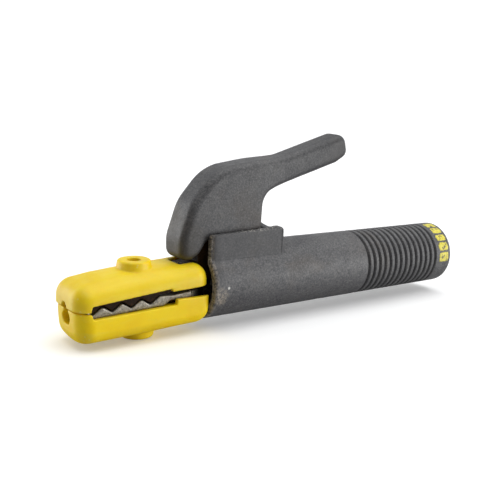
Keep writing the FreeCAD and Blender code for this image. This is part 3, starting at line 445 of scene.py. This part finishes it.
def lever_material():
    """The lever's grey: brown soot and painted shade at the nose over the jaws, darker towards the
    tail's end.
    """
    look, colour, roughness = grey_moulding("grey_moulded_lever", 0.84)
    # Brown soot and painted shade on the nose, stronger lower down.
    height = look.maths("ADD", look.along(2), look.remap(look.noise(4, 3), 0, 1, -0.004, 0.004))
    front = look.remap(look.along(0), *NOSE_SOOT_AND_SHADE_X)
    soot_and_painted_shadow = look.maths("MULTIPLY", look.remap(height, *NOSE_SOOT_AND_SHADE_HEIGHT, 0.85, 0.0), front)
    colour = look.mix(soot_and_painted_shadow, colour, (0.028, 0.022, 0.013))
    # Darker towards the tail's end.
    tail_darkening = look.remap(look.along(0), *TAIL_X, 0.0, 0.62)
    colour = look.mix(tail_darkening, colour, (0.026, 0.026, 0.029))
    return look.set(colour, roughness, {"Specular IOR Level": 0.60})


def yellow_moulding(name, tones, specular):
    """Yellow glass-filled plastic in three tones, with faint flow marks, a soft sheen and painted
    shade in its hollows.
    """
    look = Look(name)
    clouds = look.ramp(look.noise(19, 4, 0.55), list(zip((0.30, 0.52, 0.75), tones)))
    flow = look.noise(5.5, 4, 0.6, stretch=(0.35, 1.0, 1.0), shift=0.4)
    flowed = look.mix(look.remap(flow, 0.50, 0.75, 0.0, 0.35), clouds, (0.88, 0.720, 0.100))
    grain = look.noise(0.8, 3, 0.7)
    speckled = look.mix(look.remap(grain, 0.56, 0.72, 0.0, 0.22), flowed, (0.62, 0.43, 0.012))
    # Painted shade: patchy darker orange in the hollows.
    recess_shade = look.maths("MULTIPLY", look.cavities(0.435, 0.485),
                      look.remap(look.noise(2.2, 4, 0.7), 0.35, 0.6))
    recess_shaded = look.mix(look.maths("MULTIPLY", recess_shade, 0.65), speckled, (0.30, 0.155, 0.008))
    wear = look.maths("MULTIPLY", look.worn_edges(0.52, 0.575), 0.30)
    colour = look.mix(wear, recess_shaded, (0.88, 0.80, 0.30))
    roughness = look.remap(look.noise(4, 4, 0.6), 0.3, 0.7, 0.36, 0.52)
    look.bump(look.noise(11, 3, 0.5), 0.22, 0.5)
    look.bump(grain, 0.035, 0.5)
    return look.set(colour, roughness, {
        "Specular IOR Level": specular,
        "Subsurface Weight": 0.25,
        "Subsurface Radius": (1.0, 0.55, 0.05),
        "Subsurface Scale": 0.002,
    })


def cast_metal(name, light, dark):
    """Sand-cast alloy, rough and pitted, brighter on its worn edges."""
    look = Look(name)
    clouds = look.ramp(look.noise(2.4, 5, 0.75), [(0.34, dark), (0.66, light)])
    pits = look.remap(look.noise(0.8, 3, 0.7), 0.48, 0.62, 0.0, 0.65)
    pitted = look.mix(pits, clouds, darker(dark, 0.45))
    wear = look.maths("MULTIPLY", look.worn_edges(), 0.6)
    worn = look.mix(wear, pitted, tuple(min(1.0, 1.35 * c) for c in light))
    roughness = look.remap(look.noise(1.6, 4, 0.6), 0.3, 0.7, 0.40, 0.62)
    look.bump(look.noise(1.5, 4, 0.7), 0.12, 0.7)
    look.bump(look.cells(0.9), 0.06, 0.4)
    return look, worn, roughness


def fixed_jaw_material():
    """Bright cast jaw with painted shadow that turns its neck black where it enters the handle."""
    look, colour, roughness = cast_metal("jaw_cast_metal", (0.52, 0.49, 0.42), (0.20, 0.185, 0.155))
    # Painted shadow: the neck turns black behind the step, where the lever and handle shade it.
    ragged = look.maths("ADD", look.along(0), look.remap(look.noise(2.5, 3), 0, 1, -0.0015, 0.0015))
    soot_and_painted_shadow = look.remap(ragged, *NECK_SHADOW_X)
    colour = look.mix(soot_and_painted_shadow, colour, (0.018, 0.014, 0.010))
    return look.set(colour, roughness, {"Metallic": 0.75})


def moving_jaw_material():
    """Heat-browned casting, darkened nearly to black as painted shade, with pale flecks on top of
    the arm.
    """
    # Painted shade: the casting's colours are near-black and stand for the shadow in the jaw's
    # recess.
    look, colour, roughness = cast_metal("lever_cast_metal", (0.036, 0.017, 0.006),
                                         (0.014, 0.007, 0.003))
    scraped = look.maths("MULTIPLY", look.remap(look.along(2), *ARM_TOP_HEIGHT),
                         look.remap(look.along(0), *ARM_TOP_X))
    flecks = look.remap(look.noise(1.2, 4, 0.7), 0.52, 0.60)
    colour = look.mix(look.maths("MULTIPLY", scraped, flecks), colour, (0.40, 0.36, 0.28))
    return look.set(colour, roughness, {"Specular IOR Level": 0.12})


def plain_metal(name, light, dark, rough_low, rough_high, stretch=None):
    """Turned or drawn metal with fine tool marks and a little tarnish."""
    look = Look(name)
    tone = look.ramp(look.noise(2.8, 4, 0.6), [(0.3, dark), (0.7, light)])
    wear = look.maths("MULTIPLY", look.worn_edges(), 0.5)
    colour = look.mix(wear, tone, tuple(min(1.0, 1.3 * c) for c in light))
    lines = look.noise(0.25, 2, 0.5, stretch=stretch or (1.0, 1.0, 0.15))
    look.bump(lines, 0.02, 0.4)
    roughness = look.remap(look.noise(1.2, 3), 0.3, 0.7, rough_low, rough_high)
    return look.set(colour, roughness, {"Metallic": 1.0})


def fibre_material(name):
    """Wound vulcanised fibre: dull red-brown with the winding's fine lines."""
    look = Look(name)
    tone = look.ramp(look.noise(1.2, 4, 0.6, stretch=(1.0, 0.2, 0.2)), [
        (0.3, (0.150, 0.060, 0.040)), (0.7, (0.250, 0.105, 0.065))])
    look.bump(look.noise(0.5, 3, 0.6, stretch=(1.0, 0.15, 0.15)), 0.04, 0.5)
    return look.set(base=tone, roughness=look.remap(look.noise(2, 3), 0.3, 0.7, 0.6, 0.8))


def seat_material(name):
    look = Look(name)
    tone = look.ramp(look.noise(1.5, 3), [
        (0.3, (0.030, 0.030, 0.032)), (0.7, (0.055, 0.054, 0.052))])
    look.bump(look.noise(0.4, 3, 0.6), 0.03, 0.5)
    return look.set(base=tone, roughness=look.remap(look.noise(1, 3), 0.3, 0.7, 0.45, 0.65))


def paint_material(name):
    """Worn yellow paint: thin, patchy, with the grey showing through."""
    look = Look(name)
    tone = look.ramp(look.noise(1.6, 4, 0.6), [
        (0.30, (0.680, 0.570, 0.025)), (0.70, (0.860, 0.770, 0.120))])
    gaps = look.remap(look.noise(2.3, 4, 0.7), 0.54, 0.60, 0.0, 0.9)
    colour = look.mix(gaps, tone, (0.085, 0.078, 0.060))
    look.bump(look.noise(0.7, 3, 0.6), 0.05, 0.6)
    return look.set(base=colour, roughness=look.remap(gaps, 0, 1, 0.42, 0.6))


# ---- softened mouldings and castings ---------------------------------------------------------

WELD_MM = 0.002
SMOOTHING = 0.5
WAVE_SHARES = (0.7, 0.3)
SMALL_WAVE = 2.7


def welded(mesh):
    shape = bmesh.new()
    shape.from_mesh(mesh)
    bmesh.ops.remove_doubles(shape, verts=shape.verts, dist=WELD_MM * MM)
    bmesh.ops.recalc_face_normals(shape, faces=shape.faces)
    shape.to_mesh(mesh)
    shape.free()


def softened(node, name, voxel_mm, rounds, sink_mm, wave_mm, material, extra=None):
    """A moulded or cast piece in the place of a CAD node: the same form with its edges rounded
    over, sunk and swollen slightly as real castings are, and never outside the node's box."""
    source = frame["nodes"][node]
    low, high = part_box(node)
    piece = link(bpy.data.objects.new(name + "_raw", source.data.copy()))
    piece.data.materials.clear()
    welded(piece.data)
    remesh = piece.modifiers.new("voxels", "REMESH")
    remesh.mode = "VOXEL"
    remesh.voxel_size = voxel_mm * MM
    smooth = piece.modifiers.new("soft", "SMOOTH")
    smooth.factor = SMOOTHING
    smooth.iterations = rounds
    graph = bpy.context.evaluated_depsgraph_get()
    mesh = bpy.data.meshes.new_from_object(piece.evaluated_get(graph), depsgraph=graph)
    bpy.data.objects.remove(piece)
    mesh.name = name
    normals = [vertex.normal.copy() for vertex in mesh.vertices]
    for vertex, normal in zip(mesh.vertices, normals):
        place = vertex.co / (wave_mm * MM)
        wave = WAVE_SHARES[0] * noise.noise(place)
        wave += WAVE_SHARES[1] * noise.noise(place * SMALL_WAVE)
        moved = vertex.co - normal * (0.5 + 0.5 * wave) * sink_mm * MM
        if extra is not None:
            moved = extra(moved)
        vertex.co = [min(max(moved[i], low[i]), high[i]) for i in range(3)]
    mesh.polygons.foreach_set("use_smooth", [True] * len(mesh.polygons))
    mesh.update()
    mesh.materials.append(material)
    body = source["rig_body"]
    piece = link(bpy.data.objects.new(name, mesh))
    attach(piece, body)
    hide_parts(node)
    return piece


# ---- marks on the rear band ------------------------------------------------------------------

BAND_R = 18.2
BAND_X = (-10.6, -2.4)
BAND_BLOCKS = ((12, 8.2), (31, 7.6), (49, 6.8), (67, 8.2), (88, 9.2))
BLOCK_STEPS = 12
PAINT_HEIGHT = 0.10
PAINT_RIM_SINK = 0.05
PAINT_DEPTH = 0.3
PAINT_RIPPLE = 0.03
CORNER_CUT = 0.16
RAGGED_SHARE = 0.16


def band_block(index, middle_angle, half_angle, material):
    """One plain painted block that follows the sleeve's rear band; 0 is the top, 90 the -Y side."""
    shape = bmesh.new()
    middle_x = sum(BAND_X) / 2
    half_length = (BAND_X[1] - BAND_X[0]) / 2
    grid = {}
    for row in range(BLOCK_STEPS + 1):
        for column in range(BLOCK_STEPS + 1):
            a = 2 * row / BLOCK_STEPS - 1
            b = 2 * column / BLOCK_STEPS - 1
            along = a * math.sqrt(1 - CORNER_CUT * b * b)
            around = b * math.sqrt(1 - CORNER_CUT * a * a)
            spot = Vector((2.2 * along + 3.7 * index, 2.2 * around, 4.0))
            ragged = RAGGED_SHARE * noise.noise(spot)
            along *= 1 + ragged
            around *= 1 - ragged
            rim = max(abs(a), abs(b))
            radius = BAND_R + PAINT_HEIGHT * (1 - rim ** 8) - PAINT_RIM_SINK * rim ** 8
            radius += PAINT_RIPPLE * noise.noise(Vector((9 * a, 9 * b, index + 0.5)))
            angle = math.radians(middle_angle + half_angle * around)
            for side, level in ((0, radius), (1, BAND_R - PAINT_DEPTH)):
                place = Vector((middle_x + half_length * along,
                                -level * math.sin(angle), level * math.cos(angle)))
                grid[side, row, column] = shape.verts.new(place * MM)
    for side in (0, 1):
        for row in range(BLOCK_STEPS):
            for column in range(BLOCK_STEPS):
                corners = [grid[side, row, column], grid[side, row + 1, column],
                           grid[side, row + 1, column + 1], grid[side, row, column + 1]]
                shape.faces.new(corners if side else corners[::-1])
    rim = [(row, 0) for row in range(BLOCK_STEPS)]
    rim += [(BLOCK_STEPS, column) for column in range(BLOCK_STEPS)]
    rim += [(row, BLOCK_STEPS) for row in range(BLOCK_STEPS, 0, -1)]
    rim += [(0, column) for column in range(BLOCK_STEPS, 0, -1)]
    for here, there in zip(rim, rim[1:] + rim[:1]):
        shape.faces.new([grid[0, *here], grid[0, *there], grid[1, *there], grid[1, *here]])
    bmesh.ops.recalc_face_normals(shape, faces=shape.faces)
    mesh = bpy.data.meshes.new(f"rear_band_mark_{index}")
    shape.to_mesh(mesh)
    shape.free()
    mesh.polygons.foreach_set("use_smooth", [True] * len(mesh.polygons))
    mesh.materials.append(material)
    block = link(bpy.data.objects.new(f"rear_band_mark_{index}", mesh))
    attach(block, "holder")


# ---- the jaw spring --------------------------------------------------------------------------

WIRE_R = 0.8
SPRING_TURNS = 5.5
CLOSED_TURNS = 0.9
CLOSED_RISE = 1.65
COIL_STEPS = 40
WIRE_STEPS = 14


def coil_height(turn, height):
    """How high the wire's middle stands: the end turns lie closed, and the rest are open."""
    open_rise = height - 2 * CLOSED_RISE
    if turn < CLOSED_TURNS:
        return CLOSED_RISE * turn / CLOSED_TURNS
    if turn > SPRING_TURNS - CLOSED_TURNS:
        return height - CLOSED_RISE * (SPRING_TURNS - turn) / CLOSED_TURNS
    return CLOSED_RISE + open_rise * (turn - CLOSED_TURNS) / (SPRING_TURNS - 2 * CLOSED_TURNS)


def make_spring(material):
    """The compression spring with closed ends."""
    low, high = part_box("jaw_spring")
    centre_x = (low.x + high.x) / 2
    coil_r = (high.x - low.x) / 2 - WIRE_R * MM
    height = (high.z - low.z) / MM - 2 * WIRE_R
    shape = bmesh.new()
    rings = []
    for step in range(round(SPRING_TURNS * COIL_STEPS) + 1):
        turn = step / COIL_STEPS
        angle = 2 * math.pi * turn
        outward = Vector((math.cos(angle), math.sin(angle), 0))
        middle = Vector((centre_x, 0, low.z + WIRE_R * MM)) + outward * coil_r
        middle.z += coil_height(turn, height) * MM
        around = [2 * math.pi * share / WIRE_STEPS for share in range(WIRE_STEPS)]
        rings.append([shape.verts.new(middle + WIRE_R * MM * (outward * math.cos(a)
                                                              + Vector((0, 0, math.sin(a)))))
                      for a in around])
    for ring, following in zip(rings, rings[1:]):
        for index in range(WIRE_STEPS):
            after = (index + 1) % WIRE_STEPS
            shape.faces.new([ring[index], ring[after], following[after], following[index]])
    shape.faces.new(rings[0])
    shape.faces.new(rings[-1])
    bmesh.ops.recalc_face_normals(shape, faces=shape.faces)
    mesh = bpy.data.meshes.new("jaw_spring_coil")
    shape.to_mesh(mesh)
    shape.free()
    mesh.polygons.foreach_set("use_smooth", [True] * len(mesh.polygons))
    mesh.materials.append(material)
    spring = link(bpy.data.objects.new("jaw_spring_coil", mesh))
    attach(spring, frame["nodes"]["jaw_spring"]["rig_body"])
    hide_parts("jaw_spring")
    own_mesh(spring)


# ---- the object ------------------------------------------------------------------------------

UPPER_YELLOWS = ((0.800, 0.550, 0.004), (0.865, 0.620, 0.006), (0.900, 0.680, 0.018))
# Painted light: the lower head's yellows are a brighter copy of the upper's, for the underside that
# the lamps light less.
LOWER_YELLOWS_PAINTED_LIGHTER = ((0.930, 0.620, 0.002), (0.975, 0.690, 0.003), (1.000, 0.750, 0.008))
BOX_RIM_X = (-174.5, -131.0)
BOX_SIDE_Y = 12.4
BOX_SIDE_Z = (13.2, 13.9)
BOX_SIDE_SET_BACK = 0.35
SLEEVE_R = (18.2, 18.8)
SLEEVE_LENGTH = 175.5
GROOVE_COUNT = 14
GROOVE_PITCH = 4.3
GROOVE_FIRST_X = -70.2
GROOVE_HALF_WIDTH = 0.85
GROOVE_CUT = 1.5
SKIN_R = 16.3
SKIN_SINK = 0.03
RIB_CROWN = 0.11
BOX_TOP_FRONT_Z = 26.4
BOX_TOP_SLOPE = 0.034
FLASH_DEPTH = 1.2
FLASH_HEIGHT = 0.9
# How far from the middle a line of flash lies, its half width, and its share of the height.
FLASH_LINES = ((9.9, 0.7, 1.0), (12.4, 0.8, 0.5))
CHIP_PLACE = (-167.8, -18.7, 0.5)
CHIP_R = 0.85
RUBBED_PLACE = (-173.0, -18.0, -4.0)
RUBBED_R = 6.0
CROWN_HEIGHT = 1.8
CROWN_HALF_WIDTH = 11.5
CROWN_X = (-245, -231, -205, -190)
CROWN_Z = (5.0, 8.5)
UPPER_TOP_REAR = (-177.2, 13.3)
UPPER_TOP_FRONT = (-247.0, 7.6)
UPPER_TOP_SLOPE = ((UPPER_TOP_REAR[1] - UPPER_TOP_FRONT[1])
                   / (UPPER_TOP_REAR[0] - UPPER_TOP_FRONT[0]))
UPPER_BOSS_X = -211.2
BOSS_RISE = 5.0
LOWER_BOSS_X = -209.2
LOWER_BOTTOM_Z = -18.3
BELLY_Z = (9.0, 13.0)
BOSS_DROP = 4.0
CHIN_Z = (6.0, 17.0)
CHIN_X = (236.0, 247.0)
CHIN_TUCK = 1.5
JAW_HALF_WIDTH = 12.1
NECK_HALF_WIDTH = 7.5
NECK_X = (-185.3, -176.5)
NECK_LOWEST_Z = -8.5
NECK_CORE = 6.0
BOSS_HOLE_KEEP_R = (4.0, 5.5)


def sleeve_detail(place):
    """Grooves round the grip, box sides set back, and mould flash on the box's top edges."""
    x, y, z = place / MM
    nearest = round((x - GROOVE_FIRST_X) / GROOVE_PITCH)
    off = x - GROOVE_FIRST_X - nearest * GROOVE_PITCH
    radius = math.hypot(y, z)
    if 0 <= nearest < GROOVE_COUNT and radius > SKIN_R:
        skin = SLEEVE_R[0] + (SLEEVE_R[1] - SLEEVE_R[0]) * -x / SLEEVE_LENGTH
        skin -= SKIN_SINK + GROOVE_CUT * math.exp(-(off / GROOVE_HALF_WIDTH) ** 4)
        skin -= RIB_CROWN * (off / GROOVE_PITCH * 2) ** 2
        return Vector((place.x, place.y * skin / radius, place.z * skin / radius))
    if BOX_RIM_X[0] < x < BOX_RIM_X[1] and abs(y) > BOX_SIDE_Y and z > BOX_SIDE_Z[0]:
        set_back = BOX_SIDE_SET_BACK * MM * share_between(z, *BOX_SIDE_Z)
        place = Vector((place.x, place.y - math.copysign(set_back, y), place.z))
    top = BOX_TOP_FRONT_Z + (x + SLEEVE_LENGTH) * BOX_TOP_SLOPE
    if not BOX_RIM_X[0] < x < BOX_RIM_X[1] or z < top - FLASH_DEPTH:
        return place
    reach = sum(share * math.exp(-((abs(y) - middle) / half_width) ** 2)
                for middle, half_width, share in FLASH_LINES)
    lump = noise.noise(Vector((x * 0.55, y * 0.3, 2.0)))
    lump += 0.6 * noise.noise(Vector((x * 1.6, y, 7.0)))
    return place + Vector((0, 0, FLASH_HEIGHT * MM * reach * max(0.0, lump)))


def share_between(value, low, high):
    """0 at low, 1 at high, straight between, held outside."""
    return min(1.0, max(0.0, (value - low) / (high - low)))


def crowned(place):
    """The upper insulator's top swells along the middle; its boss keeps its rim and its hole."""
    x, y, z = place / MM
    above = z - UPPER_TOP_REAR[1] - UPPER_TOP_SLOPE * (x - UPPER_TOP_REAR[0])
    share = max(0.0, 1 - (y / CROWN_HALF_WIDTH) ** 2)
    share *= share_between(x, CROWN_X[0], CROWN_X[1]) * share_between(-x, -CROWN_X[3], -CROWN_X[2])
    share *= share_between(z, *CROWN_Z) * (1 - share_between(above, 0, BOSS_RISE))
    share *= share_between(math.hypot(x - UPPER_BOSS_X, y), *BOSS_HOLE_KEEP_R)
    return place + Vector((0, 0, CROWN_HEIGHT * MM * share))


def bellied(place):
    """The lower insulator's underside swells the same way, and its chin tucks in at the front."""
    x, y, z = place / MM
    below = LOWER_BOTTOM_Z - z
    share = max(0.0, 1 - (y / CROWN_HALF_WIDTH) ** 2)
    share *= share_between(-x, -CROWN_X[3], -CROWN_X[2])
    share *= share_between(-z, *BELLY_Z) * (1 - share_between(below, 0, BOSS_DROP))
    share *= share_between(math.hypot(x - LOWER_BOSS_X, y), *BOSS_HOLE_KEEP_R)
    lowness = share_between(-z, *CHIN_Z)
    nearness = share_between(-x, *CHIN_X)
    tuck = Vector((CHIN_TUCK * lowness ** 2 * nearness, 0, 0)) * MM
    return place - Vector((0, 0, CROWN_HEIGHT * MM * share)) + tuck


def tapered_neck(place):
    """The jaw's neck narrows gradually from the jaw's width to its own behind the step."""
    x, y, z = place / MM
    if not NECK_X[0] < x < NECK_X[1] or z < NECK_LOWEST_Z or abs(y) < NECK_CORE:
        return place
    widest = JAW_HALF_WIDTH / NECK_HALF_WIDTH
    widening = 1 + (widest - 1) * share_between(-x, -NECK_X[1], -NECK_X[0])
    return Vector((place.x, place.y * widening, place.z))


def make_object():
    grey = sleeve_material()
    lever_grey = lever_material()
    upper_yellow = yellow_moulding("yellow_moulded_plastic", UPPER_YELLOWS, 0.38)
    # The lower head gets the brighter copy of the yellow as painted light.
    lower_yellow = yellow_moulding("yellow_moulded_plastic_lower_painted_lighter", LOWER_YELLOWS_PAINTED_LIGHTER, 0.24)
    jaw_metal = fixed_jaw_material()
    arm_metal = moving_jaw_material()
    coarse = 1.0
    softened("handle_sleeve", "sleeve_moulding", 0.50 * coarse, 4, 0.08, 9, grey,
             sleeve_detail)
    softened("lever_cover", "lever_moulding", 0.42 * coarse, 6, 0.10, 11, lever_grey)
    softened("upper_jaw_insulator", "upper_head_moulding", 0.36 * coarse, 7, 0.08, 9,
             upper_yellow, crowned)
    softened("lower_jaw_insulator", "lower_head_moulding", 0.36 * coarse, 7, 0.08, 9,
             lower_yellow, bellied)
    softened("lower_jaw_body", "lower_jaw_casting", 0.36 * coarse, 9, 0.10, 4, jaw_metal,
             tapered_neck)
    softened("upper_jaw_lever", "upper_jaw_casting", 0.36 * coarse, 4, 0.10, 4, arm_metal)
    paint = paint_material("rear_band_paint")
    for index, (middle_angle, half_angle) in enumerate(BAND_BLOCKS):
        band_block(index + 1, middle_angle, half_angle, paint)
    steel = plain_metal("turned_steel", (0.46, 0.45, 0.44), (0.26, 0.25, 0.24), 0.28, 0.45)
    zinc = plain_metal("plated_steel", (0.50, 0.49, 0.46), (0.31, 0.29, 0.25), 0.30, 0.48)
    spring = plain_metal("spring_wire", (0.22, 0.21, 0.20), (0.12, 0.11, 0.10), 0.30, 0.45,
                         (0.3, 0.3, 1.0))
    bronze = plain_metal("bush_bronze", (0.55, 0.37, 0.17), (0.36, 0.22, 0.09), 0.30, 0.5)
    copper = plain_metal("sleeve_copper", (0.70, 0.33, 0.20), (0.45, 0.18, 0.10), 0.28, 0.45,
                         (0.15, 1.0, 1.0))
    looks = {
        "sleeve_screw": zinc, "pivot_pin": steel, "pivot_retaining_rings": spring,
        "pivot_thrust_washers": bronze, "cable_clamp_screws": zinc, "cable_contact_sleeve": copper,
        "lower_insulator_screw": zinc, "lower_lock_washer": spring, "upper_insulator_screw": zinc,
        "upper_lock_washer": spring, "lever_cover_screw": zinc, "pivot_bush": bronze,
        "insulating_liner": fibre_material("wound_fibre"),
        "spring_seat_upper": seat_material("seat_nylon"),
        "spring_seat_lower": seat_material("seat_nylon_lower"),
    }
    make_spring(spring)
    for node, material in looks.items():
        mesh = frame["nodes"][node].data
        mesh.materials.clear()
        mesh.materials.append(material)


make_camera()
make_lamps()
make_world()
make_floor()
make_object()
bpy.context.scene.view_settings.view_transform = "Standard"
